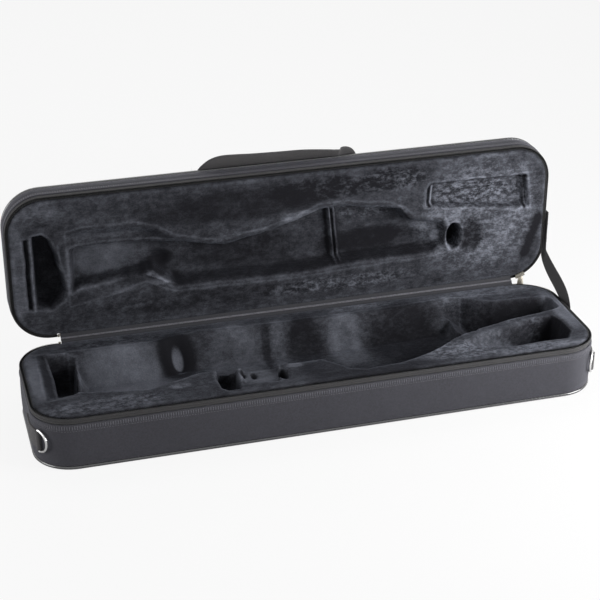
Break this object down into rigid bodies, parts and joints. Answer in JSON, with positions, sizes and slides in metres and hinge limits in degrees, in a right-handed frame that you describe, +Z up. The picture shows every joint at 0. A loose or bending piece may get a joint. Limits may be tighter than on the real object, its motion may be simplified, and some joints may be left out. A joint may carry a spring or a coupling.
{
  "type": "soprano saxophone case",
  "caption": "Long zippered instrument case in black cloth, its lid standing open on a fabric hinge, both halves lined with moulded plush.",
  "frame": {"origin": "middle of the base's underside, on the surface it stands on", "axes": "+X along the case from the bell's end to the narrow end, +Y from the opening side to the hinge, +Z up"},
  "size_m": [0.725, 0.2384, 0.2767],
  "materials": {
    "cover_cloth": "woven nylon, matt",
    "hem_cloth": "folded and stitched",
    "piping": "glossy vinyl",
    "zip_tape": "knitted tape",
    "zip_coil": "nylon coil",
    "board": "thin ply, unfinished",
    "plush": "crushed plush",
    "webbing": "woven webbing",
    "ring_steel": "nickel plated",
    "slider_metal": "cast, plated"
  },
  "bodies": {
    "base": {"base_shell": "board", "base_side_cover": "cover_cloth", "base_face_cover": "cover_cloth", "base_piping": "piping", "base_hem": "hem_cloth", "base_zip_tape": "zip_tape", "base_zip_coil": "zip_coil", "base_zip_stops": "slider_metal", "base_hinge_leaf": "cover_cloth", "base_insert": "plush", "base_stay_end": "webbing", "hinge_binding": "cover_cloth", "bay_divider": "plush", "left_ring_tab": "webbing", "right_ring_tab": "webbing", "stay_strap": "webbing"},
    "lid": {"lid_shell": "board", "lid_side_cover": "cover_cloth", "lid_face_cover": "cover_cloth", "lid_piping": "piping", "lid_hem": "hem_cloth", "lid_zip_tape": "zip_tape", "lid_zip_coil": "zip_coil", "lid_zip_stops": "slider_metal", "lid_hinge_leaf": "cover_cloth", "lid_insert": "plush", "lid_stay_end": "webbing", "handle_patches": "webbing"},
    "left_ring": {"left_d_ring": "ring_steel"},
    "right_ring": {"right_d_ring": "ring_steel"},
    "handle": {"handle_grip": "webbing"},
    "slider": {"zip_slider": "slider_metal"},
    "pull": {"slider_pull": "slider_metal"}
  },
  "joints": [
    {"name": "lid_hinge", "type": "hinge", "parent": "base", "child": "lid", "pos_m": [0, 0.0995, 0.0712], "axis": [1, 0, 0], "range_deg": [-15, 90], "deforming": ["stay_strap"]},
    {"name": "left_ring_swing", "type": "hinge", "parent": "base", "child": "left_ring", "pos_m": [-0.35478, -0.07593, 0.035], "axis": [0, 0, -1], "range_deg": [0, 150]},
    {"name": "right_ring_swing", "type": "hinge", "parent": "base", "child": "right_ring", "pos_m": [0.35478, -0.07593, 0.035], "axis": [0, 0, 1], "range_deg": [0, 150]},
    {"name": "handle_lift", "type": "hinge", "parent": "lid", "child": "handle", "pos_m": [0, 0.1398, 0.2362], "axis": [-1, 0, 0], "range_deg": [0, 170]},
    {"name": "slider_run", "type": "hinge", "parent": "lid", "child": "slider", "pos_m": [0.311, 0.1001, 0.1232], "axis": [0, -1, 0], "range_deg": [-8, 20]},
    {"name": "pull_swing", "type": "hinge", "parent": "slider", "child": "pull", "pos_m": [0.32887, 0.1036, 0.0741], "axis": [0, 1, 0], "range_deg": [-70, 60]}
  ]
}
